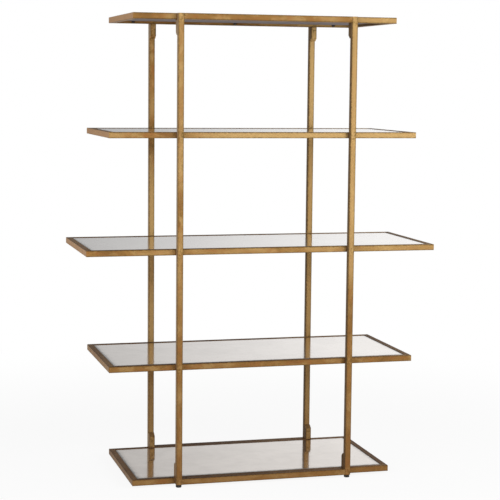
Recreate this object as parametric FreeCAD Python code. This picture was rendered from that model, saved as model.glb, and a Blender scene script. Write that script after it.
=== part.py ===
"""Etagere: two hoops of square tube with five mirrored shelf frames between them.

+X is to the right, +Y to the back and +Z up. The origin is on the floor, midway
between the four feet. All sizes are in millimetres.
"""
import FreeCAD, Part
import math
import os

from FreeCAD import Vector

os.makedirs("parts", exist_ok=True)

# ---- The square tube that everything is made of ----
tube = 25.4
tube_wall = 1.5
tube_corner = 2.2
frame_corner = 3.6

# ---- Layout ----
post_spacing = 750.0
shelf_depth = 574.0
shelf_count = 5
shelf_pitch = 487.5
end_shelf_length = 1143.0
inner_shelf_length = 1341.0
middle_shelf_length = 1530.0

# ---- What lies in each shelf frame ----
mirror_reveal = 1.6
mirror_thickness = 4.0
mirror_seam = 0.8
board_thickness = 9.0
panel_gap = 1.0

# ---- Angle clips under the boards, along the long rails ----
clips_per_rail = 3
clip_inset = 80.0
clip_width = 14.0
clip_reach = 12.0
clip_drop = 8.0
clip_thickness = 1.5
clip_corner = 2.0

# ---- Connector stubs between the posts and the end shelves ----
stub_length = 65.0
stub_nose_rise = 14.0
stub_nose_run = 19.0

# ---- Post caps ----
cap_thickness = 3.0
cap_clearance = 0.1

# ---- Levelling feet, M8 ----
foot_height = 12.0
foot_gap = 0.3
foot_radius = 12.3
foot_floor = 2.6
foot_travel = 12.0
stem_radius = 4.0
stem_clearance = 0.05
stem_head_radius = 7.0
stem_head_thickness = 2.4
stem_head_clearance = 0.1
stem_engagement = 10.0
plug_length = 20.0
plug_clearance = 0.1

# ---- Sizes that follow from them ----
half_depth = shelf_depth / 2
half_spacing = post_spacing / 2
frame_base = foot_height
hoop_height = (shelf_count - 1) * shelf_pitch + tube
under_board = tube - mirror_reveal - mirror_thickness - board_thickness
sides = {"front": -1, "rear": 1}
ends = {"left": -1, "right": 1}


def shelf_base(level):
    """Height of the underside of a shelf frame; level 0 is the lowest shelf."""
    return frame_base + level * shelf_pitch


def shelf_length(level):
    """Length of a shelf frame: longest halfway up, shortest at both ends."""
    steps_from_end = min(level, shelf_count - 1 - level)
    return (end_shelf_length, inner_shelf_length, middle_shelf_length)[min(steps_from_end, 2)]


def moved(shape, x=0.0, y=0.0, z=0.0):
    """A copy of the shape, shifted."""
    copy = shape.copy()
    copy.translate(Vector(x, y, z))
    return copy


def turned(shape, axis, degrees):
    """A copy of the shape, turned about an axis through the origin."""
    copy = shape.copy()
    copy.rotate(Vector(0, 0, 0), axis, degrees)
    return copy


def block(x_size, y_size, z_size):
    """A block centred on the Z axis, standing on z = 0."""
    return Part.makeBox(x_size, y_size, z_size, Vector(-x_size / 2, -y_size / 2, 0))


def upright_edges(shape):
    """The shape's straight edges that run along Z."""
    return [edge for edge in shape.Edges if abs(abs(edge.tangentAt(edge.FirstParameter).z) - 1) < 1e-6]


def rounded_bar(side, corner, length):
    """A square bar along Z with rounded corners, standing on z = 0."""
    bar = block(side, side, length)
    return bar.makeFillet(corner, upright_edges(bar))


def square_tube(length):
    """A length of the square tube along Z, standing on z = 0."""
    bore = block(tube - 2 * tube_wall, tube - 2 * tube_wall, length)
    return rounded_bar(tube, tube_corner, length).cut(bore)


def single(shape):
    """The one solid that a cut leaves."""
    return shape.Solids[0]


def revolved(points):
    """A solid of revolution about Z from the (radius, height) corners of its half section."""
    outline = [Vector(radius, 0, height) for radius, height in points + points[:1]]
    return Part.Face(Part.makePolygon(outline)).revolve(Vector(0, 0, 0), Vector(0, 0, 1), 360)


def save(name, shapes):
    """Write one node: a single solid, or a group of solids."""
    shapes = shapes if isinstance(shapes, list) else [shapes]
    shape = shapes[0] if len(shapes) == 1 else Part.makeCompound(shapes)
    shape.exportStep("parts/%s.step" % name)


# ---- The two hoops ----

def hoops():
    """Four posts, the crossbars between them and the caps that close the posts."""
    caps = []
    cap_side = tube - 2 * tube_wall - 2 * cap_clearance
    for side_name, side in sides.items():
        y = side * (half_depth + tube / 2)
        for end_name, end in ends.items():
            x = end * half_spacing
            save("%s_%s_post" % (side_name, end_name), moved(square_tube(hoop_height), x, y, frame_base))
            cap = block(cap_side, cap_side, cap_thickness)
            caps.append(moved(cap, x, y, frame_base + hoop_height - cap_thickness))
        span = post_spacing - tube
        crossbar = moved(turned(square_tube(span), Vector(0, 1, 0), 90), -span / 2, y, tube / 2)
        save("%s_bottom_crossbar" % side_name, moved(crossbar, z=shelf_base(0)))
        save("%s_top_crossbar" % side_name, moved(crossbar, z=shelf_base(shelf_count - 1)))
    save("post_caps", caps)


# ---- Shelf frames ----

def mitred_rail(length):
    """A rail along X, its outer face on y = 0, mitred towards +Y, with its corners ground round."""
    rail = moved(turned(square_tube(length), Vector(0, 1, 0), 90), -length / 2, tube / 2, tube / 2)
    ground = block(length, 2 * tube, tube)
    ground = moved(ground.makeFillet(frame_corner, upright_edges(ground)), y=tube)
    outline = [
        Vector(-length / 2, 0, 0),
        Vector(length / 2, 0, 0),
        Vector(length / 2 - tube, tube, 0),
        Vector(tube - length / 2, tube, 0),
        Vector(-length / 2, 0, 0),
    ]
    mitre = Part.Face(Part.makePolygon(outline)).extrude(Vector(0, 0, tube))
    return single(rail.common(mitre).common(ground))


def shelf_frame(level):
    """The four rails of one shelf."""
    length = shelf_length(level)
    base = shelf_base(level)
    name = "shelf_%d" % (level + 1)
    for side_name, side in sides.items():
        long_rail = mitred_rail(length)
        if side > 0:
            long_rail = turned(long_rail, Vector(0, 0, 1), 180)
        save("%s_%s_rail" % (name, side_name), moved(long_rail, y=side * half_depth, z=base))
    for end_name, end in ends.items():
        short_rail = turned(mitred_rail(shelf_depth), Vector(0, 0, 1), end * 90)
        save("%s_%s_rail" % (name, end_name), moved(short_rail, end * length / 2, z=base))


def shelf_filling(level):
    """The mirror and its backing board."""
    inner_length = shelf_length(level) - 2 * tube
    inner_depth = shelf_depth - 2 * tube
    name = "shelf_%d" % (level + 1)
    mirror_base = shelf_base(level) + tube - mirror_reveal - mirror_thickness
    board_base = mirror_base - board_thickness
    panel = (inner_length - 2 * panel_gap, inner_depth - 2 * panel_gap)
    mirror = block(panel[0], panel[1], mirror_thickness)
    top_edges = [edge for edge in mirror.Edges if edge.BoundBox.ZMin > mirror_thickness / 2]
    mirror = mirror.makeChamfer(mirror_seam, top_edges)
    save("%s_mirror" % name, moved(mirror, z=mirror_base))
    save("%s_board" % name, moved(block(panel[0], panel[1], board_thickness), z=board_base))


# ---- Angle clips ----

def clip_places(level):
    """Positions along a long rail of the clips that carry the board."""
    farthest = shelf_length(level) / 2 - tube - clip_inset
    return [farthest * (2 * step / (clips_per_rail - 1) - 1) for step in range(clips_per_rail)]


def clip():
    """An angle clip with its upright leg on the plane y = 0 and its level leg's top on z = 0."""
    leg = moved(block(clip_width, clip_thickness, clip_drop), y=clip_thickness / 2, z=-clip_drop)
    lower_edges = [
        edge for edge in leg.Edges
        if edge.BoundBox.ZMax < clip_thickness - clip_drop and edge.BoundBox.XLength < clip_thickness
    ]
    leg = leg.makeChamfer(clip_corner, lower_edges)
    shelf = moved(block(clip_width, clip_reach, clip_thickness), y=clip_reach / 2, z=-clip_thickness)
    return single(leg.fuse(shelf).removeSplitter())


def shelf_clips(level):
    """The clips along both long rails of one shelf."""
    angles = []
    for side in sides.values():
        face = side * (half_depth - tube)
        facing = turned(clip(), Vector(0, 0, 1), 180) if side > 0 else clip()
        for x in clip_places(level):
            angles.append(moved(facing, x, face, shelf_base(level) + under_board))
    save("shelf_%d_clips" % (level + 1), angles)


# ---- Connector stubs ----

def stub_profile(inset):
    """Side outline of a stub: the post is at y = 0, the rail at z = 0 and the nose slopes at the top."""
    tip = stub_length - inset
    near = inset
    far = tube - inset
    slope = stub_nose_rise / stub_nose_run
    slope_shift = inset * (math.sqrt(1 + slope ** 2) - 1)
    nose_start = tube - stub_nose_run - slope_shift / slope
    return [
        Vector(0, near, 0),
        Vector(0, far, 0),
        Vector(0, far, tip - slope * (far - nose_start)),
        Vector(0, nose_start, tip),
        Vector(0, near, tip),
        Vector(0, near, 0),
    ]


def stub():
    """A stub standing on z = 0 with its seat against the post on y = 0 and its nose towards +Y."""
    outer = Part.Face(Part.makePolygon(stub_profile(0))).extrude(Vector(tube, 0, 0))
    outer = moved(outer, -tube / 2)
    outer = outer.makeFillet(tube_corner, upright_edges(outer))
    width = tube - 2 * tube_wall
    inner = Part.Face(Part.makePolygon(stub_profile(tube_wall))).extrude(Vector(width, 0, 0))
    return single(outer.cut(moved(inner, -width / 2)))


def stubs():
    """Four stubs that stand on the lowest shelf and four that hang under the top one."""
    lower = []
    upper = []
    for side in sides.values():
        for end in ends.values():
            x = end * half_spacing
            y = side * half_depth
            standing = turned(stub(), Vector(0, 0, 1), 180) if side > 0 else stub()
            hanging = standing.mirror(Vector(0, 0, 0), Vector(0, 0, 1))
            lower.append(moved(standing, x, y, shelf_base(0) + tube))
            upper.append(moved(hanging, x, y, shelf_base(shelf_count - 1)))
    save("lower_stubs", lower)
    save("upper_stubs", upper)


# ---- Levelling feet ----

def foot_pad():
    """A moulded pad on the floor, with a chamber that holds the stem's head."""
    height = foot_height - foot_gap
    neck = stem_radius + stem_clearance
    chamber = stem_head_radius + stem_head_clearance
    chamber_top = foot_floor + stem_head_thickness + 2 * stem_head_clearance
    return revolved([
        (0, 0),
        (foot_radius, 0),
        (foot_radius, height),
        (neck, height),
        (neck, chamber_top),
        (chamber, chamber_top),
        (chamber, foot_floor),
        (0, foot_floor),
    ])


def foot_stem():
    """A stem with a round head that turns in the pad and a shank that screws into the plug."""
    head_base = foot_floor + stem_head_clearance
    head_top = head_base + stem_head_thickness
    top = foot_height + foot_travel + stem_engagement
    return revolved([
        (0, head_base),
        (stem_head_radius, head_base),
        (stem_head_radius, head_top),
        (stem_radius, head_top),
        (stem_radius, top),
        (0, top),
    ])


def post_plug():
    """A threaded plug that fills the lower end of a post, standing on z = 0."""
    side = tube - 2 * tube_wall - 2 * plug_clearance
    return block(side, side, plug_length).cut(Part.makeCylinder(stem_radius + stem_clearance, plug_length))


def feet():
    """Four feet, each a pad and a stem, and the plugs that they screw into."""
    plugs = []
    for side_name, side in sides.items():
        for end_name, end in ends.items():
            x = end * half_spacing
            y = side * (half_depth + tube / 2)
            save("%s_%s_foot_pad" % (side_name, end_name), moved(foot_pad(), x, y))
            save("%s_%s_foot_stem" % (side_name, end_name), moved(foot_stem(), x, y))
            plugs.append(moved(post_plug(), x, y, frame_base))
    save("post_plugs", plugs)


hoops()
for shelf_level in range(shelf_count):
    shelf_frame(shelf_level)
    shelf_filling(shelf_level)
    shelf_clips(shelf_level)
stubs()
feet()
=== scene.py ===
"""Etagere of gilded square tube with antiqued mirror shelves: finishes, small parts and stage.

Lengths are in metres. +X is to the right, +Y to the back and +Z up, and the origin is on
the floor, midway between the four feet.
"""

import math

import bmesh
import bpy
from bpy.props import FloatProperty, FloatVectorProperty, IntProperty, PointerProperty
from mathutils import Matrix, Vector


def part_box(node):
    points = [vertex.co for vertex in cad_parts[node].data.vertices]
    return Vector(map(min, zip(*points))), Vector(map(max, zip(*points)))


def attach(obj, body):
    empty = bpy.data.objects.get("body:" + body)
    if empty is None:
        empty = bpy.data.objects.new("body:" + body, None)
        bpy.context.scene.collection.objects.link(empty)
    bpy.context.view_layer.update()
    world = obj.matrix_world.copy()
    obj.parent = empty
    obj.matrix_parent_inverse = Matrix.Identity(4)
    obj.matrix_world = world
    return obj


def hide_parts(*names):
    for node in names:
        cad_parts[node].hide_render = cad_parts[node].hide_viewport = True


bl_info = {
    "name": "Gilded Etagere",
    "version": (1, 0, 0),
    "blender": (4, 5, 0),
    "location": "View3D > Sidebar > Etagere",
    "description": "Finishes, small parts and stage of a gilded etagere with mirror shelves",
    "category": "Object",
}

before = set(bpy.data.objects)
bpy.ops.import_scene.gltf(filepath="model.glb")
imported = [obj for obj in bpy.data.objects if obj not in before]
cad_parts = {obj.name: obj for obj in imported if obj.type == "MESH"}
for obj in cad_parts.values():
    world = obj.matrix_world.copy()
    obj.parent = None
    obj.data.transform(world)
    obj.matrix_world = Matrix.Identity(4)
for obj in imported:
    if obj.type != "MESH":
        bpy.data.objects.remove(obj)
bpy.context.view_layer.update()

FRAME_BODY = "etagere"
SHELVES = ["shelf_%d" % number for number in range(1, 6)]
# Which way each corner lies along X and Y.
CORNERS = {
    "front_left": (-1, -1), "front_right": (1, -1),
    "rear_left": (-1, 1), "rear_right": (1, 1),
}

# ---- Sizes read from the solids ----
post_low, post_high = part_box("front_right_post")
TUBE = post_high.x - post_low.x
POST_X = (post_low.x + post_high.x) / 2
POST_Y = -(post_low.y + post_high.y) / 2
HALF_DEPTH = POST_Y - TUBE / 2
RAIL_Y = HALF_DEPTH - TUBE / 2
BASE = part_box("shelf_1_front_rail")[0].z
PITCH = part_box("shelf_2_front_rail")[0].z - BASE

# ---- Gilding: where along an axis each change starts and where it is whole ----
# Painted light: paler leaf higher up, on the rear posts, on the upper front posts and on the outer
# sides.
LIGHT_HEIGHTS = (0.80, 0.92)
REAR_POSTS_LIGHT = (1.30, 1.55)
FRONT_POSTS_LIT = (1.10, 1.40)
TOP_FRAME = (1.90, 1.96)
# Painted shade: the leaf browner towards the floor, between these heights.
SHADE_BELOW = (1.3, 0.0)
OUTER_SIDES_LIT = (0.3, 1.2)
# Painted shade on the tops of tubes along X thins out to the right over this span.
TOP_SHADE_THINNER = (-0.2, 0.7)
FRONT_TO_REAR = (-0.1, 0.1)
LEFT_TO_RIGHT = (-0.3, 0.3)
# How squarely a side looks a way for its coat to start and to be whole.
FACING = (0.6, 0.95)
# How long the painted light takes to be whole, and from the floor up where it starts on each
# shelf's long rails and how strong it is there.
LIGHT_RUN = 0.4
LONG_RAIL_LIGHTS = ((0.1, 0.0), (0.1, 0.0), (0.0, 0.4), (-0.5, 0.85), (0.05, 0.6))
# How far in from a tube's edges the olive and the bole start and are whole, and how ragged.
OLIVE_EDGE = (0.0075, 0.001)
BOLE_EDGE = (0.0026, 0.0004)
EDGE_RAGGED = 0.0015

# ---- Patterns of the finishes, by the size of one patch or grain ----
BROAD_PATCH = 0.16
LEAF_GRAIN = 0.0021
WELD_KNOT = 0.010
EDGE_TOOTH = 0.009
SHADE_PATCH = 0.03
MIRROR_STREAK = 0.02
RIM_TOOTH = 0.02
SPECK_SPACING = 0.014
SPECK_GROUP = 0.05
BOARD_FIBRE = 0.004
ROLLER_MARK = 0.05
BLACK_GRAIN = 0.0009
BLACK_RUB = 0.006
TURNING_MARK = 0.0016
STEEL_STAIN = 0.006
WELD_BLOTCH = 0.006
WELD_GRAIN = 0.0012

# ---- Welds ----
POST_WELD_INSET = 0.0014
STUB_WELD_INSET = 0.0016
STUB_SEAM_INSET = 0.0010
STUB_SEAM_START = 0.003
STUB_SEAM_END = 0.001
STUB_SEAM_WIDTH = 0.0030
STUB_SEAM_PROUD = 0.0006
MITRE_INSET = 0.002
MITRE_PROUD = 0.00012
CROSSBAR_SEAM_INSET = 0.0022
CROSSBAR_PROUD = 0.0001
# The stubs' bead and the crossbars' seam, as shares of the bead and the seam that are set.
STUB_BEAD = 0.8
CROSSBAR_SEAM = 1.6
# A bead's section, in shares of its leg, and how it swells at each ripple and thins at its tips.
BEAD_SECTION = ((-0.75, 0.02), (1.0, 0.02), (0.86, 0.42), (0.52, 0.80), (0.02, 1.0))
BEAD_SWELL = 0.10
BEAD_TIP = 0.35
BEAD_TAPER = 6
RINGS_PER_RIPPLE = 4
# A seam's section, in shares of half its width and of how proud it stands.
SEAM_SECTION = ((-1.0, -1.0), (-0.6, 0.8), (0.0, 1.0), (0.6, 0.8), (1.0, -1.0))
SEAM_STEP = 0.0015
# The seams' wavy edges: the height of each wave, as a share of the width, and its radians.
SEAM_WAVES = ((0.22, 17.0), (0.12, 41.0))

# ---- Clips and their screws, the screws in shares of the head's radius ----
CLIP_WIDTH = 0.014
CLIP_THICKNESS = 0.0015
# How much of a clip's height its flat leg takes.
CLIP_LEG = 0.81
SCREW_HEAD = ((1.0, 0.0), (1.0, 0.28), (0.93, 0.46), (0.74, 0.58))
SCREW_SOCKET = ((0.95, 0.58), (0.90, 0.20))

# ---- Feet ----
SOLE_MIDDLE = 0.25
SOLE_RISE = 0.0003
# The step round the sole: how far in from the rounded edge, and how far up.
SOLE_STEP = ((0.0012, SOLE_RISE), (0.0008, 0.0))
EDGE_STEPS = 6
GROOVES = 3
FIRST_GROOVE = 0.0014
GROOVE_SPACING = 0.0021
# Each groove's section: whether it is cut in there, and how far up.
GROOVE_SECTION = ((0, 0.0), (1, 0.0003), (1, 0.0007), (0, 0.0010))
# The pads' rim, inwards and down, and their dished top, in shares of the radius and down.
PAD_RIM = ((0.0, 0.0008), (0.0003, 0.0003), (0.0009, 0.0))
PAD_TOP = ((0.62, 0.0), (0.58, 0.0005), (0.34, 0.0005), (0.34, 0.004))
# The thread's radius as a share of the head's.
STEM_SHANK = 4 / 7
STEM_HEAD = 0.0024
STEM_HEAD_EDGE = 0.0003
ROWS_PER_TURN = 6
THREAD_SLOPE = 2.6
THREAD_RUN_OUT = 0.0008

# ---- Mirrors ----
# How far their clear part lies to the right and to the back.
RIM_LEANS = (0.002, 0.004)
RIM_RAGGED = 0.004
# How far from the rim the specks start and are whole.
SPECKED_RIM = (0.06, 0.01)

# ---- Stage ----
# Where the levels of the studio change in reflections, by the direction of the light.
SKY_RIGHT = (0.06, 0.40)
SKY_FAR_LEFT = (-0.05, -0.5)
SKY_FAR_LEFT_LEVEL = 0.85
SKY_TOP = (0.16, 0.28)
SKY_LOW = (0.16, 0.0)
SKY_LOW_RIGHT = (0.12, 0.34)
SKY_LOW_RIGHT_DIM = 0.1
SKY_FRONT = (0.2, -0.3)
LAMP_AIM = Vector((0, 0, 1.0))
# Place and width of each lamp.
KEY_LAMP = ((2.9, -4.2, 2.2), 2.4)
FILL_LAMP = ((-3.0, -2.8, 2.2), 2.2)
FLOOR_RADIUS = 16.0
FLOOR_SIDES = 96
FLOOR_GREY = (0.86, 0.86, 0.86)
FLOOR_FADE = (1.0, 3.2)
SENSOR_WIDTH = 36.0


def linear(red, green, blue):
    """A colour given as 0 to 255 values, as the linear values that the shaders use."""
    parts = (red / 255, green / 255, blue / 255)
    return tuple(
        part / 12.92 if part <= 0.04045 else ((part + 0.055) / 1.055) ** 2.4 for part in parts)


def colour_setting(name, description, values):
    """A colour that the user can change."""
    return FloatVectorProperty(
        name=name, description=description, subtype="COLOR", min=0, max=1, default=linear(*values))


def length_setting(name, description, value):
    """A length that the user can change."""
    return FloatProperty(name=name, description=description, unit="LENGTH", default=value, min=0)


def share_setting(name, description, value):
    """A share from 0 to 1 that the user can change."""
    return FloatProperty(
        name=name, description=description, subtype="FACTOR", default=value, min=0, max=1)


def angle_setting(name, description, degrees):
    """An angle that the user can change."""
    return FloatProperty(
        name=name, description=description, subtype="ANGLE", default=math.radians(degrees))


def power_setting(name, description, value):
    """A lamp's power that the user can change."""
    return FloatProperty(name=name, description=description, unit="POWER", default=value)


# ---- What a user can change ----

class GiltFinish(bpy.types.PropertyGroup):
    """Gold leaf on the iron."""
    gold: colour_setting("Gold", "Main colour of the leaf", (164, 122, 68))
    # Pale gold serves for random light leaves and also for the painted light.
    pale: colour_setting("Pale gold", "Lightest leaves", (206, 170, 112))
    copper: colour_setting("Copper", "Coppery leaves", (168, 106, 60))
    olive: colour_setting("Olive", "Greenish leaves and edges", (118, 96, 48))
    bole: colour_setting("Bole", "Red-brown ground that shows through the leaf", (92, 58, 34))
    # Low leaf is random browner leaf and also the painted shade towards the floor and on the top
    # frame.
    low: colour_setting("Low leaf", "Browner leaf towards the floor", (112, 76, 42))
    # The patina colour is painted shade on the upper faces.
    shade: colour_setting("Patina", "Dark wax on the upper faces", (64, 43, 25))
    # The inner colour is painted shade on the sides that face the middle.
    inner: colour_setting("Inner sides", "Wax on the sides that face the middle", (100, 80, 56))
    # The outer and ends colours are painted light on the posts' outer sides and the shelves' ends.
    outer: colour_setting("Outer sides", "Rubbed leaf on the posts' outer sides", (178, 150, 114))
    ends: colour_setting("Ends", "Rubbed leaf on the shelves' ends", (204, 157, 110))
    leaf: length_setting("Leaf size", "Size of one patch of colour", 0.020)
    wear: share_setting("Wear", "How much of the bole shows through", 0.30)
    metal: share_setting("Metal", "How metallic the leaf is", 0.45)
    roughness: share_setting("Roughness", "Roughness of the leaf", 0.42)


class MirrorFinish(bpy.types.PropertyGroup):
    """Antiqued mirror of the shelves."""
    silver: colour_setting("Silver", "Colour of the silvering", (241, 230, 220))
    haze: colour_setting("Haze", "Colour of the cloudy parts", (228, 217, 207))
    spot: colour_setting("Spots", "Colour of the age spots", (132, 118, 100))
    rim: colour_setting("Rim", "Dark edge where the silvering has lifted", (62, 57, 51))
    cloud: length_setting("Cloud size", "Size of the cloudy parts", 0.12)
    rim_width: length_setting("Rim width", "Width of the dark edge", 0.007)
    smoke_width: length_setting("Smoke width", "Width of the smoky border inside the rim", 0.024)
    roughness: share_setting("Roughness", "Roughness of the clear parts", 0.04)


class FittingFinish(bpy.types.PropertyGroup):
    """Boards, clips and feet."""
    board: colour_setting("Board", "Paint of the boards under the mirrors", (150, 138, 139))
    black: colour_setting("Black", "Paint of the clips and nylon of the feet", (30, 28, 27))
    steel: colour_setting("Steel", "Screws and foot stems", (140, 136, 130))


class WeldSizes(bpy.types.PropertyGroup):
    """Welds of the hoops, the frames and the stubs."""
    bead: length_setting("Bead", "Leg of the fillet welds", 0.0024)
    ripple: length_setting("Ripple", "Spacing of the ripples along a weld", 0.0016)
    seam: length_setting("Seam", "Width of the dressed welds on the mitres", 0.0011)
    brown: colour_setting("Weld colour", "Leaf over the welds", (122, 82, 50))


class TurnedSizes(bpy.types.PropertyGroup):
    """Levelling feet and clip screws."""
    edge: length_setting("Edge", "Radius of the pads' lower edge", 0.0026)
    groove: length_setting("Groove", "Depth of the grip grooves", 0.00035)
    thread_pitch: length_setting("Thread pitch", "Pitch of the stems' thread", 0.00125)
    thread_depth: length_setting("Thread depth", "Depth of the stems' thread", 0.0006)
    screw_head: length_setting("Screw head", "Radius of the clip screws' heads", 0.0026)
    sides: IntProperty(
        name="Sides", description="Segments round a pad, twice as many as round a stem or a screw",
        default=48, min=12)


class StageSettings(bpy.types.PropertyGroup):
    """Camera, lamps and floor."""
    place: FloatVectorProperty(
        name="Camera", description="Place of the camera", subtype="TRANSLATION",
        default=(-1.7481, -6.4601, 1.7082))
    turn: angle_setting("Turn", "Turn of the camera to the right", 15.2226)
    dip: angle_setting("Dip", "Angle of the camera below the horizon", 6.2862)
    roll: angle_setting("Roll", "Roll of the camera", 0.5621)
    lens: FloatProperty(name="Lens", description="Focal length", unit="CAMERA", default=109.68)
    ambient: FloatProperty(
        name="Ambient", description="Level of the soft light all round", default=0.42)
    dim_side: share_setting("Dim side", "How bright the left looks in reflections", 0.45)
    dim_top: share_setting("Dim top", "How bright the upper part looks in reflections", 0.86)
    dim_low: share_setting("Dim low", "How bright the left looks low down in reflections", 0.66)
    dim_front: share_setting("Dim front", "How bright the front looks in reflections", 0.85)
    dim_floor: share_setting("Dim floor", "How bright the floor looks in reflections", 0.6)
    key: power_setting("Key", "Power of the lamp on the right", 200.0)
    fill: power_setting("Fill", "Power of the lamp on the left", 60.0)
    floor_white: share_setting("Floor white", "How far the floor is lifted to white", 0.9)


# ---- Materials ----

class Nodes:
    """Nodes of a material or a world, added step by step."""

    def __init__(self, owner):
        owner.use_nodes = True
        self.tree = owner.node_tree
        self.tree.nodes.clear()

    def feed(self, node, inputs):
        """Link inputs of a node, or set their values."""
        for key, value in inputs.items():
            socket = node.inputs[key]
            if isinstance(value, bpy.types.NodeSocket):
                self.tree.links.new(value, socket)
            elif socket.type == "RGBA":
                socket.default_value = (*value, 1.0)
            else:
                socket.default_value = value

    def node(self, kind, inputs, **settings):
        """A new node of a kind, with its inputs and settings."""
        made = self.tree.nodes.new("ShaderNode" + kind)
        for key, value in settings.items():
            setattr(made, key, value)
        self.feed(made, inputs)
        return made

    def math(self, operation, first, second=0.0):
        """One sum on one or two numbers."""
        return self.node("Math", {0: first, 1: second}, operation=operation).outputs[0]

    def plus(self, first, second):
        """Two numbers, added."""
        return self.math("ADD", first, second)

    def minus(self, first, second):
        """A number less another."""
        return self.math("SUBTRACT", first, second)

    def times(self, first, second):
        """Two numbers, multiplied."""
        return self.math("MULTIPLY", first, second)

    def larger(self, first, second):
        """The larger of two numbers."""
        return self.math("MAXIMUM", first, second)

    def smaller(self, first, second):
        """The smaller of two numbers."""
        return self.math("MINIMUM", first, second)

    def off(self, value, place):
        """How far a number is from a place, to either side."""
        return self.math("ABSOLUTE", self.minus(value, place))

    def spread(self, value, low, high, start=0.0, end=1.0):
        """A smooth step from start to end as value goes from low to high."""
        step = {"Value": value, "From Min": low, "From Max": high, "To Min": start, "To Max": end}
        return self.node("MapRange", step, interpolation_type="SMOOTHSTEP").outputs["Result"]

    def parts(self, vector):
        """The X, Y and Z of a vector."""
        return tuple(self.node("SeparateXYZ", {0: vector}).outputs)


class Recipe(Nodes):
    """A material whose colour is laid coat by coat on a ground."""

    def __init__(self, name, ground):
        self.material = bpy.data.materials.new(name)
        super().__init__(self.material)
        self.colour = ground
        self.shader = self.node("BsdfPrincipled", {})
        self.output = self.node("OutputMaterial", {"Surface": self.shader.outputs["BSDF"]})
        coordinates = self.node("TexCoord", {})
        self.place = coordinates.outputs["Object"]
        self.facing = coordinates.outputs["Normal"]

    def noise(self, size, detail=2.0, roughness=0.5, distortion=0.0, stretch=(1, 1, 1), shift=0.0):
        """Cloudy noise whose patches are about as large as size."""
        place = self.node("Mapping", {
            "Vector": self.place, "Scale": stretch, "Location": (shift, shift, shift)})
        clouds = self.node("TexNoise", {
            "Vector": place.outputs["Vector"], "Scale": 1 / size, "Detail": detail,
            "Roughness": roughness, "Distortion": distortion})
        return clouds.outputs["Fac"]

    def cells(self, size):
        """Distance to the nearest of scattered points, size apart."""
        scattered = self.node("TexVoronoi", {"Vector": self.place, "Scale": 1 / size})
        return scattered.outputs["Distance"]

    def coat(self, share, colour):
        """Lay a colour over what is there, by share."""
        mixed = self.node("Mix", {0: share, 6: self.colour, 7: colour}, data_type="RGBA")
        self.colour = mixed.outputs[2]

    def bump(self, height, depth, strength=0.6):
        """Relief of a depth on the shader."""
        relief = self.node("Bump", {"Strength": strength, "Distance": depth, "Height": height})
        self.feed(self.shader, {"Normal": relief.outputs["Normal"]})

    def finish(self, roughness, metal=0.0):
        """The material, with its coats, roughness and metal on the shader."""
        self.feed(self.shader, {
            "Base Color": self.colour, "Roughness": roughness, "Metallic": metal})
        return self.material


def lay_leaves(recipe, finish, run):
    """Lay leaves in patches, worn to the bole. Gives the patches, the fine grain and the wear."""
    stretch = [0.5 if axis == run else 1.0 for axis in "xyz"]
    patches = recipe.noise(
        finish.leaf, detail=3.0, roughness=0.6, distortion=0.6, stretch=stretch)
    large = recipe.noise(
        finish.leaf * 1.8, detail=2.0, distortion=0.4, stretch=stretch, shift=3.1)
    small = recipe.noise(
        finish.leaf * 0.6, detail=3.0, distortion=0.5, stretch=stretch, shift=7.7)
    broad = recipe.noise(BROAD_PATCH, detail=2.0, roughness=0.4, shift=2.3)
    leaves = (
        (patches, 0.44, 0.64, 0.55, finish.copper),
        (large, 0.50, 0.68, 0.50, finish.pale),
        (small, 0.54, 0.70, 0.50, finish.olive),
        (broad, 0.50, 0.72, 0.55, finish.pale),
        (broad, 0.46, 0.28, 0.45, finish.low),
    )
    for clouds, bare, covered, strength, colour in leaves:
        recipe.coat(recipe.spread(clouds, bare, covered, 0.0, strength), colour)
    grain = recipe.noise(LEAF_GRAIN, detail=4.0, roughness=0.7)
    worn = recipe.spread(recipe.plus(grain, recipe.times(small, 0.35)), 0.76, 0.86)
    recipe.coat(recipe.times(worn, finish.wear), finish.bole)
    return patches, grain, worn


def paint_pale_light(recipe, finish, run, painted_light_from, painted_light):
    """Paint light as paler leaf: to the right of painted_light_from and up high, and on the posts.
    """
    x, y, z = recipe.parts(recipe.place)
    # Painted light: paler to the right and higher up.
    rubbed_and_lit = recipe.times(
        recipe.spread(x, painted_light_from, painted_light_from + LIGHT_RUN, 0.0, painted_light), recipe.spread(z, *LIGHT_HEIGHTS))
    if run == "z":
        # Painted light on the rear posts where the shelves shade them, on the left ones strongest
        # just above each shelf as a painted reflection of light from the mirror below, and on the
        # upper front posts.
        above = recipe.math("FLOORED_MODULO", recipe.minus(z, BASE + TUBE / 2), PITCH)
        in_bay = recipe.spread(above, 0.0, PITCH, 1.0, 0.2)
        left = recipe.spread(z, *REAR_POSTS_LIGHT, in_bay, 0.0)
        right = recipe.spread(z, *REAR_POSTS_LIGHT, 0.65, 1.0)
        rear = recipe.times(
            recipe.spread(y, *FRONT_TO_REAR), recipe.spread(x, *LEFT_TO_RIGHT, left, right))
        front = recipe.times(
            recipe.spread(y, *FRONT_TO_REAR[::-1]), recipe.spread(z, *FRONT_POSTS_LIT, 0.0, 0.3))
        rubbed_and_lit = recipe.larger(rubbed_and_lit, recipe.larger(rear, front))
    else:
        # Tubes along X and Y are a little browner on the top frame.
        recipe.coat(recipe.spread(z, *TOP_FRAME, 0.0, 0.15), finish.low)
    recipe.coat(rubbed_and_lit, finish.pale)


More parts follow.
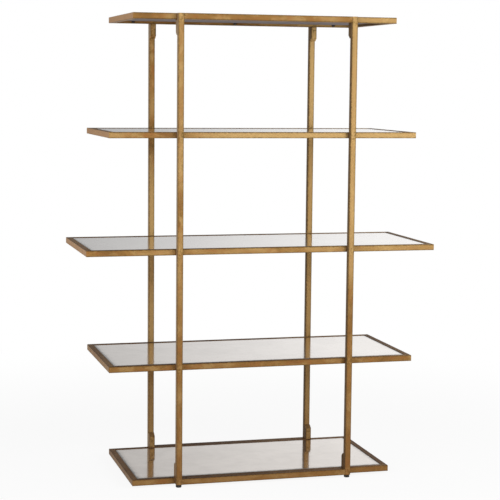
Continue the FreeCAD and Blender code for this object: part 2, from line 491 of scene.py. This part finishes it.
def gild_lumps(recipe, finish, run, joint_reach):
    """Gild the lumps of weld up to joint_reach from a joint. Gives the lumps' height."""
    x, y, z = recipe.parts(recipe.place)
    if run == "z":
        from_joint = recipe.math("PINGPONG", recipe.minus(z, BASE + TUBE / 2), PITCH / 2)
    else:
        place, joint = (x, POST_X) if run == "x" else (y, HALF_DEPTH)
        from_joint = recipe.off(recipe.math("ABSOLUTE", place), joint)
    lumpy = recipe.spread(from_joint, joint_reach, joint_reach * 0.3, 0.0, 0.75)
    knots = recipe.noise(WELD_KNOT, detail=3.0, roughness=0.6, distortion=0.6, shift=4.4)
    recipe.coat(recipe.times(lumpy, recipe.spread(knots, 0.50, 0.66)), finish.pale)
    recipe.coat(recipe.times(lumpy, recipe.spread(knots, 0.50, 0.36)), finish.olive)
    return recipe.times(lumpy, knots)


def wear_edges(recipe, finish, run, middle):
    """Darken a tube's long edges and wear them to the bole."""
    x, y, z = recipe.parts(recipe.place)
    folded = {
        "x": (recipe.math("ABSOLUTE", x), middle[0]),
        "y": (recipe.math("ABSOLUTE", y), middle[1]),
        "z": (recipe.math("FLOORED_MODULO", recipe.minus(z, BASE), PITCH), TUBE / 2),
    }
    off_line = recipe.smaller(*(recipe.off(*folded[axis]) for axis in "xyz" if axis != run))
    ragged = recipe.noise(EDGE_TOOTH, detail=3.0, roughness=0.6, shift=5.0)
    from_edge = recipe.plus(
        recipe.minus(TUBE / 2, off_line),
        recipe.spread(ragged, 0.25, 0.75, -EDGE_RAGGED, EDGE_RAGGED))
    recipe.coat(recipe.spread(from_edge, *OLIVE_EDGE, 0.0, 0.55), finish.olive)
    recipe.coat(recipe.spread(from_edge, *BOLE_EDGE, 0.0, 0.7), finish.bole)


def paint_side_shade_and_light(recipe, finish, run):
    """Paint shade on the inner sides and the tops, and light on the outer sides and ends. Gives the
    share of painted shade.
    """
    x, _, z = recipe.parts(recipe.place)
    across, _, up = recipe.parts(recipe.facing)
    outward = recipe.times(across, recipe.math("SIGN", x))
    patchy = recipe.noise(SHADE_PATCH, detail=3.0, roughness=0.6, shift=1.7)
    # Painted shade on the sides that face the middle, in patches.
    inner = recipe.times(
        recipe.spread(outward, *(-share for share in FACING)),
        recipe.spread(patchy, 0.3, 0.7, 0.95, 0.7))
    recipe.coat(inner, finish.inner)
    # Painted light: the posts' outer sides and the shelves' ends lighter higher up.
    top_shade, lit_low, lit_high, rubbed_and_lit = (
        (0.7, 0.0, 0.75, finish.ends) if run == "y" else (1.0, 0.25, 0.9, finish.outer))
    outer = recipe.times(
        recipe.spread(outward, *FACING),
        recipe.spread(z, *OUTER_SIDES_LIT, lit_low, lit_high))
    recipe.coat(outer, rubbed_and_lit)
    # Painted shade on the upper faces, weaker on the ends and thinner to the right on tubes along
    # X.
    shaded_tops = recipe.times(
        recipe.spread(up, *FACING), recipe.spread(patchy, 0.25, 0.75, 0.97 * top_shade, 0.8 * top_shade))
    if run == "x":
        shaded_tops = recipe.times(shaded_tops, recipe.spread(x, *TOP_SHADE_THINNER, 1.0, 0.3))
    recipe.coat(shaded_tops, finish.shade)
    return recipe.larger(shaded_tops, inner)


def gilt_leaf(finish, name, run, middle, painted_light_from=0.0, painted_light=0.0, joint_reach=0.034):
    """Leaf on a tube that runs along an axis, with its centre line at the distances in middle.

    It is laid in patches, worn to the bole and darker along the tube's edges. Painted shade
    makes it browner towards the floor and darker on the sides that face the middle and on top,
    thinner to the right on tubes along X; painted light makes outer sides and ends lighter up high.
    To the right of painted_light_from it is painted paler as painted light, by the share in
    painted_light, and posts by their height and place as well. Up to joint_reach from a joint the
    leaf lies over lumps of weld.
    """
    recipe = Recipe(name, finish.gold)
    patches, grain, worn = lay_leaves(recipe, finish, run)
    paint_pale_light(recipe, finish, run, painted_light_from, painted_light)
    lumps = gild_lumps(recipe, finish, run, joint_reach)
    wear_edges(recipe, finish, run, middle)
    _, _, height = recipe.parts(recipe.place)
    # Painted shade: browner towards the floor.
    recipe.coat(recipe.spread(height, *SHADE_BELOW, 0.0, 0.55), finish.low)
    matt = recipe.larger(paint_side_shade_and_light(recipe, finish, run), worn)
    roughness = recipe.spread(grain, 0.3, 0.7, finish.roughness - 0.06, finish.roughness + 0.10)
    metal = recipe.spread(matt, 0.0, 1.0, finish.metal, finish.metal * 0.2)
    laps = recipe.plus(recipe.times(patches, 0.6), recipe.times(grain, 0.4))
    recipe.bump(recipe.plus(laps, lumps), depth=0.0004, strength=0.5)
    recipe.feed(recipe.shader, {"Specular IOR Level": 0.12})
    return recipe.finish(recipe.plus(roughness, recipe.times(matt, 0.18)), metal)


def aged_mirror(finish, name, half_length, half_width):
    """Silvering that has clouded, spotted and lifted along its edges, most at left and front."""
    recipe = Recipe(name, finish.silver)
    clouds = recipe.noise(finish.cloud, detail=4.0, roughness=0.55, distortion=0.8)
    streaks = recipe.noise(
        MIRROR_STREAK, detail=4.0, roughness=0.6, stretch=(0.4, 1.2, 1.0), shift=2.0)
    haze = recipe.spread(recipe.plus(clouds, recipe.times(streaks, 0.4)), 0.5, 0.95)
    recipe.coat(haze, finish.haze)
    x, y, _ = recipe.parts(recipe.place)
    from_rim = recipe.smaller(*(
        recipe.minus(half - lean, recipe.off(place, lean))
        for place, half, lean in zip((x, y), (half_length, half_width), RIM_LEANS)))
    ragged = recipe.noise(RIM_TOOTH, detail=5.0, roughness=0.65, shift=9.0)
    lifted = recipe.plus(from_rim, recipe.spread(ragged, 0.25, 0.75, -RIM_RAGGED, RIM_RAGGED))
    rim = recipe.spread(lifted, finish.rim_width, 0.0, 0.0, 0.9)
    smoke = recipe.spread(lifted, finish.smoke_width, 0.0, 0.0, 0.5)
    chosen = recipe.spread(recipe.noise(SPECK_GROUP, detail=2.0, shift=9.0), 0.52, 0.66)
    specks = recipe.times(recipe.spread(recipe.cells(SPECK_SPACING), 0.16, 0.04), chosen)
    specks = recipe.times(specks, recipe.spread(from_rim, *SPECKED_RIM, 0.10, 0.6))
    for share, colour in ((specks, finish.spot), (smoke, finish.spot), (rim, finish.rim)):
        recipe.coat(share, colour)
    roughness = recipe.spread(haze, 0.0, 1.0, finish.roughness, finish.roughness + 0.06)
    roughness = recipe.plus(roughness, recipe.times(recipe.larger(specks, rim), 0.4))
    recipe.feed(recipe.shader, {"Coat Weight": 1.0, "Coat Roughness": 0.16})
    return recipe.finish(roughness, metal=recipe.spread(rim, 0.0, 0.9, 1.0, 0.4))


def painted_board(finish):
    """Fibre board with thin grey paint."""
    dark = tuple(part * 0.72 for part in finish.board)
    recipe = Recipe("painted_board", dark)
    fibre = recipe.noise(BOARD_FIBRE, detail=5.0, roughness=0.7, stretch=(0.35, 1.0, 1.0))
    roller = recipe.noise(ROLLER_MARK, detail=2.0, stretch=(0.4, 1.0, 1.0), shift=4.0)
    recipe.coat(recipe.spread(fibre, 0.35, 0.65), finish.board)
    recipe.coat(recipe.spread(roller, 0.35, 0.7, 0.0, 0.5), dark)
    recipe.bump(fibre, depth=0.0003)
    return recipe.finish(recipe.spread(fibre, 0.3, 0.7, 0.62, 0.8))


def black_fitting(finish, name, roughness, relief):
    """Black paint or nylon with a fine grain."""
    recipe = Recipe(name, finish.black)
    grain = recipe.noise(BLACK_GRAIN, detail=3.0, roughness=0.6)
    rubbed_and_lit = recipe.spread(recipe.noise(BLACK_RUB, detail=4.0, shift=6.0), 0.58, 0.74)
    lighter = tuple(min(1.0, part * 3.2 + 0.01) for part in finish.black)
    recipe.coat(recipe.times(rubbed_and_lit, 0.6), lighter)
    recipe.bump(grain, relief)
    return recipe.finish(recipe.spread(grain, 0.3, 0.7, roughness, roughness + 0.16))


def blackened_steel(finish):
    """Turned steel, darkened, with bright wear."""
    recipe = Recipe("blackened_steel", tuple(part * 0.3 for part in finish.steel))
    rings = recipe.noise(TURNING_MARK, detail=2.0, stretch=(0.2, 0.2, 2.4))
    stain = recipe.noise(STEEL_STAIN, detail=3.0, shift=8.0)
    recipe.coat(recipe.spread(stain, 0.4, 0.7), finish.steel)
    recipe.bump(rings, depth=0.0001, strength=0.5)
    return recipe.finish(recipe.spread(rings, 0.3, 0.7, 0.28, 0.46), metal=1.0)


def weld_leaf(finish, welds):
    """Leaf over a weld: thinner, browner and pink where the bole shows."""
    recipe = Recipe("weld_leaf", welds.brown)
    blotch = recipe.noise(WELD_BLOTCH, detail=3.0, roughness=0.6, distortion=0.5)
    grain = recipe.noise(WELD_GRAIN, detail=3.0)
    recipe.coat(recipe.spread(blotch, 0.42, 0.6), finish.bole)
    recipe.coat(recipe.spread(blotch, 0.60, 0.72), finish.copper)
    recipe.bump(grain, depth=0.0002)
    return recipe.finish(
        recipe.spread(grain, 0.3, 0.7, 0.45, 0.65), metal=finish.metal * 0.6)


def dress(name, material):
    """Give a CAD node its finish."""
    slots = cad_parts[name].data.materials
    slots.clear()
    slots.append(material)


# ---- Meshes ----

def as_object(name, mesh, material, body=FRAME_BODY, smooth=True):
    """Put a bmesh in the scene as a piece that rides on a body."""
    data = bpy.data.meshes.new(name)
    bmesh.ops.recalc_face_normals(mesh, faces=mesh.faces)
    mesh.to_mesh(data)
    mesh.free()
    data.materials.append(material)
    if smooth:
        data.shade_smooth()
    piece = bpy.data.objects.new(name, data)
    bpy.context.scene.collection.objects.link(piece)
    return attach(piece, body)


def skin(mesh, rings):
    """Skin a row of rings, each a list of points, into the mesh, and cap both ends."""
    loops = [[mesh.verts.new(point) for point in ring] for ring in rings]
    count = len(loops[0])
    for lower, upper in zip(loops, loops[1:]):
        for at in range(count):
            after = (at + 1) % count
            mesh.faces.new((lower[at], lower[after], upper[after], upper[at]))
    mesh.faces.new(loops[0][::-1])
    mesh.faces.new(loops[-1])


def bead(mesh, start, end, first, second, leg, ripple):
    """A rippled fillet weld from start to end in the corner between directions first and second."""
    run = end - start
    steps = max(4, round(run.length / (ripple / RINGS_PER_RIPPLE)))
    rings = []
    for step in range(steps + 1):
        share = step / steps
        swell = 1 + BEAD_SWELL * math.cos(share * run.length / ripple * 2 * math.pi)
        taper = min(1.0, BEAD_TIP + BEAD_TAPER * min(share, 1 - share))
        size = leg * swell * taper
        centre = start + run * share
        rings.append([centre + first * (u * size) + second * (v * size) for u, v in BEAD_SECTION])
    skin(mesh, rings)


def dressed_seam(mesh, start, end, normal, width, proud):
    """A weld ground almost flush, from start to end on a face with a normal."""
    run = end - start
    side = run.normalized().cross(normal)
    steps = max(6, round(run.length / SEAM_STEP))
    rings = []
    for step in range(steps + 1):
        share = step / steps
        wider = sum(size * math.sin(share * turns) for size, turns in SEAM_WAVES)
        half = width / 2 * (1 + wider)
        centre = start + run * share
        rings.append([centre + side * (half * u) + normal * (proud * v) for u, v in SEAM_SECTION])
    skin(mesh, rings)


def around(radii, height):
    """A ring of points at a height, one for each radius."""
    points = []
    for number, radius in enumerate(radii):
        angle = 2 * math.pi * number / len(radii)
        points.append(Vector((radius * math.cos(angle), radius * math.sin(angle), height)))
    return points


def turned(profile, sides):
    """The rings of a turned piece, from (radius, height) points."""
    return [around([radius] * sides, height) for radius, height in profile]


def hexagon(flats, sides):
    """The radii of points round a hexagon, from its width across flats."""
    radii = []
    for step in range(sides):
        within = (2 * math.pi * step / sides + math.pi / 6) % (math.pi / 3) - math.pi / 6
        radii.append(flats / 2 / math.cos(within))
    return radii


def stand(mesh, rings, seat, turn=Matrix.Identity(3)):
    """Skin rings into the mesh, turned and moved to a seat."""
    skin(mesh, [[seat + turn @ point for point in ring] for ring in rings])


# ---- Operators ----

class GildIron(bpy.types.Operator):
    """Gild the posts, crossbars, shelf frames, stubs and caps"""
    bl_idname = "etagere.gild_iron"
    bl_label = "Gild the iron"

    def execute(self, context):
        finish = context.scene.etagere_gilt
        post = gilt_leaf(finish, "leaf_on_posts", "z", (POST_X, POST_Y), painted_light=0.65)
        stub = gilt_leaf(finish, "leaf_on_stubs", "z", (POST_X, RAIL_Y), joint_reach=0.3)
        crossbar = gilt_leaf(finish, "leaf_on_crossbars", "x", (0.0, POST_Y))
        leaves = {"_post": post, "_caps": post, "_stubs": stub, "_crossbar": crossbar}
        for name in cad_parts:
            for ending, leaf in leaves.items():
                if name.endswith(ending):
                    dress(name, leaf)
        # Each shelf's long rails are painted paler to the right, as painted light.
        for shelf, (painted_light_from, painted_light) in zip(SHELVES, LONG_RAIL_LIGHTS):
            rail_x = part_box(shelf + "_right_rail")[1].x - TUBE / 2
            long_leaf = gilt_leaf(finish, "leaf_on_%s" % shelf, "x", (0.0, RAIL_Y), painted_light_from, painted_light)
            short_leaf = gilt_leaf(finish, "leaf_on_%s_ends" % shelf, "y", (rail_x, 0.0))
            for places, leaf in ((("front", "rear"), long_leaf), (("left", "right"), short_leaf)):
                for place in places:
                    dress("%s_%s_rail" % (shelf, place), leaf)
        return {"FINISHED"}


class SilverMirrors(bpy.types.Operator):
    """Silver the mirrors and age them"""
    bl_idname = "etagere.silver_mirrors"
    bl_label = "Silver the mirrors"

    def execute(self, context):
        finish = context.scene.etagere_mirror
        for shelf in SHELVES:
            name = shelf + "_mirror"
            _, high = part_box(name)
            dress(name, aged_mirror(finish, shelf + "_silvering", high.x, high.y))
        return {"FINISHED"}


class PaintBoards(bpy.types.Operator):
    """Paint the boards under the mirrors"""
    bl_idname = "etagere.paint_boards"
    bl_label = "Paint the boards"

    def execute(self, context):
        paint = painted_board(context.scene.etagere_fittings)
        for shelf in SHELVES:
            dress(shelf + "_board", paint)
        return {"FINISHED"}


class WeldPosts(bpy.types.Operator):
    """Lay the fillet welds between the posts and the shelf frames"""
    bl_idname = "etagere.weld_posts"
    bl_label = "Weld the posts"

    def execute(self, context):
        welds = context.scene.etagere_welds
        leaf = weld_leaf(context.scene.etagere_gilt, welds)
        for corner, (side, depth) in CORNERS.items():
            mesh = bmesh.new()
            outward = Vector((0, depth, 0))
            for shelf in SHELVES:
                low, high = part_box(shelf + "_front_rail")
                crossbar_there = shelf in (SHELVES[0], SHELVES[-1])
                for way in (1,) if crossbar_there else (1, -1):
                    place = (side * (POST_X + way * TUBE / 2), depth * HALF_DEPTH)
                    start = Vector((*place, low.z + POST_WELD_INSET))
                    end = Vector((*place, high.z - POST_WELD_INSET))
                    across = Vector((side * way, 0, 0))
                    bead(mesh, start, end, across, outward, welds.bead, welds.ripple)
            as_object(corner + "_post_welds", mesh, leaf)
        return {"FINISHED"}


class WeldStubs(bpy.types.Operator):
    """Lay the welds round the stubs"""
    bl_idname = "etagere.weld_stubs"
    bl_label = "Weld the stubs"

    def execute(self, context):
        welds = context.scene.etagere_welds
        leaf = weld_leaf(context.scene.etagere_gilt, welds)
        for name, rise in (("lower_stubs", 1), ("upper_stubs", -1)):
            low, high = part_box(name)
            root, tip = (low.z, high.z) if rise > 0 else (high.z, low.z)
            up = Vector((0, 0, rise))
            mesh = bmesh.new()
            for side, depth in CORNERS.values():
                centre = Vector((side * POST_X, depth * RAIL_Y, root))
                self.weld_stub(mesh, centre, Vector((0, -depth, 0)), up, tip, welds)
            as_object(name[:-1] + "_welds", mesh, leaf)
        return {"FINISHED"}

    def weld_stub(self, mesh, centre, inward, up, tip, welds):
        """Beads round the root on the three free sides, and seams along the post up to the tip."""
        reach = TUBE / 2 - STUB_WELD_INSET
        leg = welds.bead * STUB_BEAD
        for way in (-1, 1):
            across = Vector((way, 0, 0))
            edge = centre + across * (TUBE / 2)
            bead(mesh, edge - inward * reach, edge + inward * reach, across, up, leg, welds.ripple)
            seam = edge - inward * (TUBE / 2) - across * STUB_SEAM_INSET
            end = Vector((seam.x, seam.y, tip - up.z * STUB_SEAM_END))
            dressed_seam(
                mesh, seam + up * STUB_SEAM_START, end, across, STUB_SEAM_WIDTH, STUB_SEAM_PROUD)
        face = centre + inward * (TUBE / 2)
        right = Vector((reach, 0, 0))
        bead(mesh, face - right, face + right, inward, up, leg, welds.ripple)


class DressMitres(bpy.types.Operator):
    """Dress the welds on the mitred corners of the shelf frames and on the crossbars"""
    bl_idname = "etagere.dress_mitres"
    bl_label = "Dress the mitres"

    def execute(self, context):
        welds = context.scene.etagere_welds
        leaf = weld_leaf(context.scene.etagere_gilt, welds)
        for shelf in SHELVES:
            low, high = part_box(shelf + "_front_rail")
            faces = ((low.z, -1),) if shelf == SHELVES[-1] else ((high.z, 1), (low.z, -1))
            mesh = bmesh.new()
            for side, depth in CORNERS.values():
                for height, facing in faces:
                    outer, inner = (
                        Vector((side * (high.x - inset), depth * (HALF_DEPTH - inset), height))
                        for inset in (MITRE_INSET, TUBE - MITRE_INSET))
                    normal = Vector((0, 0, facing))
                    dressed_seam(mesh, outer, inner, normal, welds.seam, MITRE_PROUD)
            as_object(shelf + "_mitre_welds", mesh, leaf)
        width = welds.seam * CROSSBAR_SEAM
        for level in ("top", "bottom"):
            mesh = bmesh.new()
            for depth, place in ((-1, "front"), (1, "rear")):
                low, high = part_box("%s_%s_crossbar" % (place, level))
                face = depth * (POST_Y + TUBE / 2 - CROSSBAR_PROUD)
                for x in (low.x, high.x):
                    start = Vector((x, face, low.z + CROSSBAR_SEAM_INSET))
                    end = Vector((x, face, high.z - CROSSBAR_SEAM_INSET))
                    dressed_seam(mesh, start, end, Vector((0, depth, 0)), width, CROSSBAR_PROUD)
            as_object(level + "_crossbar_welds", mesh, leaf)
        return {"FINISHED"}


class FitClips(bpy.types.Operator):
    """Blacken the clips under the boards and screw them to the rails"""
    bl_idname = "etagere.fit_clips"
    bl_label = "Fit the clips"

    def execute(self, context):
        fittings = context.scene.etagere_fittings
        sizes = context.scene.etagere_turned
        paint = black_fitting(fittings, "black_paint", roughness=0.32, relief=0.00005)
        steel = blackened_steel(fittings)
        head = sizes.screw_head
        sides = sizes.sides // 2
        rings = turned([(head * out, head * lift) for out, lift in SCREW_HEAD], sides)
        rings += [around(hexagon(head * flats, sides), head * lift) for flats, lift in SCREW_SOCKET]
        for shelf in SHELVES:
            name = shelf + "_clips"
            dress(name, paint)
            low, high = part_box(name)
            leg_top = low.z + (high.z - low.z) * CLIP_LEG
            height = (low.z + leg_top) / 2
            reach = abs(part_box(shelf + "_front_rail")[1].y) - CLIP_THICKNESS
            half = (high.x - low.x) / 2 - CLIP_WIDTH / 2
            mesh = bmesh.new()
            for depth in (-1, 1):
                turn = Vector((0, -depth, 0)).to_track_quat("Z", "Y").to_matrix()
                for x in (-half, 0.0, half):
                    stand(mesh, rings, Vector((x, depth * reach, height)), turn)
            as_object(shelf + "_clip_screws", mesh, steel, smooth=False)
        return {"FINISHED"}


class FitFeet(bpy.types.Operator):
    """Mould the foot pads, thread their stems and finish the plugs"""
    bl_idname = "etagere.fit_feet"
    bl_label = "Fit the feet"

    def execute(self, context):
        fittings = context.scene.etagere_fittings
        sizes = context.scene.etagere_turned
        nylon = black_fitting(fittings, "black_nylon", roughness=0.42, relief=0.00008)
        steel = blackened_steel(fittings)
        dress("post_plugs", nylon)
        for corner in CORNERS:
            self.pad(corner, sizes, nylon)
            self.stem(corner, sizes, steel)
        return {"FINISHED"}

    def pad(self, corner, sizes, nylon):
        """A pad with a rounded lower edge, grip grooves and a dished top."""
        name = corner + "_foot_pad"
        low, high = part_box(name)
        radius = (high.x - low.x) / 2
        height = high.z - low.z
        edge = sizes.edge
        profile = [(radius * SOLE_MIDDLE, SOLE_RISE)]
        profile += [(radius - edge - inwards, up) for inwards, up in SOLE_STEP]
        for step in range(EDGE_STEPS + 1):
            angle = math.radians(90 * step / EDGE_STEPS)
            profile.append((radius - edge + edge * math.sin(angle), edge - edge * math.cos(angle)))
        for number in range(GROOVES):
            base = edge + FIRST_GROOVE + number * GROOVE_SPACING
            profile += [(radius - sizes.groove * cut, base + up) for cut, up in GROOVE_SECTION]
        profile += [(radius - inwards, height - down) for inwards, down in PAD_RIM]
        profile += [(radius * share, height - down) for share, down in PAD_TOP]
        mesh = bmesh.new()
        centre = Vector(((low.x + high.x) / 2, (low.y + high.y) / 2, low.z))
        stand(mesh, turned(profile, sizes.sides), centre)
        piece = as_object(corner + "_moulded_pad", mesh, nylon, body=name)
        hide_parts(name)

    def stem(self, corner, sizes, steel):
        """A stem with a round head and a right-hand thread."""
        name = corner + "_foot_stem"
        low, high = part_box(name)
        head = (high.x - low.x) / 2
        crest = head * STEM_SHANK
        root = crest - sizes.thread_depth
        shank = low.z + STEM_HEAD
        sides = sizes.sides // 2
        profile = [
            (head - STEM_HEAD_EDGE, low.z), (head, low.z + STEM_HEAD_EDGE),
            (head, shank - STEM_HEAD_EDGE), (head - STEM_HEAD_EDGE, shank), (root, shank)]
        rings = turned(profile, sides)
        rows = round((high.z - shank) / sizes.thread_pitch * ROWS_PER_TURN)
        for row in range(1, rows + 1):
            height = shank + (high.z - shank) * row / rows
            run_out = min(1.0, (high.z - height) / THREAD_RUN_OUT)
            radii = []
            for step in range(sides):
                phase = (height / sizes.thread_pitch - step / sides) % 1.0
                ridge = max(0.0, 1 - abs(phase - 0.5) * THREAD_SLOPE)
                radii.append(root + (crest - root) * ridge * run_out)
            rings.append(around(radii, height))
        mesh = bmesh.new()
        stand(mesh, rings, Vector(((low.x + high.x) / 2, (low.y + high.y) / 2, 0.0)))
        piece = as_object(corner + "_threaded_stem", mesh, steel, body=name)
        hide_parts(name)


class SetStage(bpy.types.Operator):
    """Set the floor, the lamps and the camera"""
    bl_idname = "etagere.set_stage"
    bl_label = "Set the stage"

    def execute(self, context):
        stage = context.scene.etagere_stage
        context.scene.view_settings.view_transform = "Standard"
        self.surroundings(context, stage)
        self.floor(context, stage)
        self.lamp(context, "key_lamp", *KEY_LAMP, stage.key)
        self.lamp(context, "fill_lamp", *FILL_LAMP, stage.fill)
        self.camera(context, stage)
        return {"FINISHED"}

    def surroundings(self, context, stage):
        """White to look at, dimmed in places in reflections, and plain soft light for the rest."""
        world = bpy.data.worlds.new("studio")
        sky = Nodes(world)
        x, y, z = sky.parts(sky.node("TexCoord", {}).outputs["Generated"])
        level = sky.larger(
            sky.spread(x, *SKY_RIGHT, stage.dim_side, 1.0),
            sky.spread(x, *SKY_FAR_LEFT, 0.0, SKY_FAR_LEFT_LEVEL))
        level = sky.times(level, sky.spread(z, *SKY_TOP, 1.0, stage.dim_top))
        low = sky.times(
            sky.spread(z, *SKY_LOW),
            sky.spread(x, *SKY_LOW_RIGHT, 1.0 - stage.dim_low, SKY_LOW_RIGHT_DIM))
        level = sky.minus(level, sky.times(level, low))
        level = sky.times(level, sky.spread(y, *SKY_FRONT, 1.0, stage.dim_front))
        soft, mirrored, white = (
            sky.node("Background", {"Color": (1, 1, 1), "Strength": strength}).outputs[0]
            for strength in (stage.ambient, level, 1.0))
        rays = sky.node("LightPath", {}).outputs
        lit = sky.node("MixShader", {0: rays["Is Glossy Ray"], 1: soft, 2: mirrored}).outputs[0]
        seen = sky.larger(rays["Is Camera Ray"], rays["Is Transmission Ray"])
        choice = sky.node("MixShader", {0: seen, 1: lit, 2: white}).outputs[0]
        sky.node("OutputWorld", {"Surface": choice})
        context.scene.world = world

    def floor(self, context, stage):
        """A pale floor that fades into the white and keeps a soft shadow."""
        mesh = bmesh.new()
        bmesh.ops.create_circle(mesh, cap_ends=True, radius=FLOOR_RADIUS, segments=FLOOR_SIDES)
        data = bpy.data.meshes.new("floor")
        mesh.to_mesh(data)
        mesh.free()
        floor = bpy.data.objects.new("floor", data)
        context.scene.collection.objects.link(floor)
        recipe = Recipe("pale_floor", FLOOR_GREY)
        x, y, _ = recipe.parts(recipe.place)
        away = recipe.math("SQRT", recipe.plus(recipe.times(x, x), recipe.times(y, y)))
        lift = recipe.spread(away, *FLOOR_FADE, stage.floor_white, 1.0)
        rays = recipe.node("LightPath", {}).outputs
        glow = recipe.node("Emission", {
            "Strength": recipe.spread(rays["Is Glossy Ray"], 0.0, 1.0, 1.0, stage.dim_floor)})
        seen = recipe.larger(rays["Is Camera Ray"], rays["Is Glossy Ray"])
        seen = recipe.larger(seen, rays["Is Transmission Ray"])
        blend = recipe.node("MixShader", {
            0: recipe.times(seen, lift), 1: recipe.shader.outputs["BSDF"], 2: glow.outputs[0]})
        recipe.feed(recipe.output, {"Surface": blend.outputs[0]})
        recipe.feed(recipe.shader, {"Specular IOR Level": 0.0})
        data.materials.append(recipe.finish(roughness=0.9))

    def lamp(self, context, name, place, size, power):
        """A large soft lamp aimed at the middle of the etagere."""
        data = bpy.data.lights.new(name, "AREA")
        data.shape = "SQUARE"
        data.size = size
        data.energy = power
        lamp = bpy.data.objects.new(name, data)
        lamp.location = place
        lamp.rotation_euler = (LAMP_AIM - Vector(place)).to_track_quat("-Z", "Y").to_euler()
        lamp.visible_glossy = False
        context.scene.collection.objects.link(lamp)

    def camera(self, context, stage):
        """A camera at standing height, left of the middle."""
        data = bpy.data.cameras.new("camera")
        data.lens = stage.lens
        data.sensor_width = SENSOR_WIDTH
        camera = bpy.data.objects.new("camera", data)
        context.scene.collection.objects.link(camera)
        ahead = Vector((
            math.sin(stage.turn) * math.cos(stage.dip),
            math.cos(stage.turn) * math.cos(stage.dip),
            -math.sin(stage.dip)))
        level = Vector((math.cos(stage.turn), -math.sin(stage.turn), 0.0))
        upright = level.cross(ahead)
        right = level * math.cos(stage.roll) + upright * math.sin(stage.roll)
        up = upright * math.cos(stage.roll) - level * math.sin(stage.roll)
        turn = Matrix((right, up, -ahead)).transposed().to_4x4()
        camera.matrix_world = Matrix.Translation(stage.place) @ turn
        context.scene.camera = camera


OPERATORS = (
    GildIron, SilverMirrors, PaintBoards, WeldPosts, WeldStubs, DressMitres, FitClips, FitFeet,
    SetStage,
)
SETTINGS = {
    "etagere_gilt": GiltFinish,
    "etagere_mirror": MirrorFinish,
    "etagere_fittings": FittingFinish,
    "etagere_welds": WeldSizes,
    "etagere_turned": TurnedSizes,
    "etagere_stage": StageSettings,
}


class EtagerePanel(bpy.types.Panel):
    """Steps and settings of the etagere"""
    bl_idname = "VIEW3D_PT_etagere"
    bl_label = "Etagere"
    bl_space_type = "VIEW_3D"
    bl_region_type = "UI"
    bl_category = "Etagere"

    def draw(self, context):
        column = self.layout.column(align=True)
        for operator in OPERATORS:
            column.operator(operator.bl_idname)
        for name, group in SETTINGS.items():
            box = self.layout.box()
            box.label(text=group.__doc__)
            for setting in group.__annotations__:
                box.prop(getattr(context.scene, name), setting)


def register():
    for group in SETTINGS.values():
        bpy.utils.register_class(group)
    for name, group in SETTINGS.items():
        setattr(bpy.types.Scene, name, PointerProperty(type=group))
    for operator in OPERATORS:
        bpy.utils.register_class(operator)
    bpy.utils.register_class(EtagerePanel)


def unregister():
    bpy.utils.unregister_class(EtagerePanel)
    for operator in reversed(OPERATORS):
        bpy.utils.unregister_class(operator)
    for name in SETTINGS:
        delattr(bpy.types.Scene, name)
    for group in SETTINGS.values():
        bpy.utils.unregister_class(group)


def main():
    register()
    bpy.ops.etagere.gild_iron()
    bpy.ops.etagere.silver_mirrors()
    bpy.ops.etagere.paint_boards()
    bpy.ops.etagere.weld_posts()
    bpy.ops.etagere.weld_stubs()
    bpy.ops.etagere.dress_mitres()
    bpy.ops.etagere.fit_clips()
    bpy.ops.etagere.fit_feet()
    bpy.ops.etagere.set_stage()


if __name__ == "__main__":
    main()
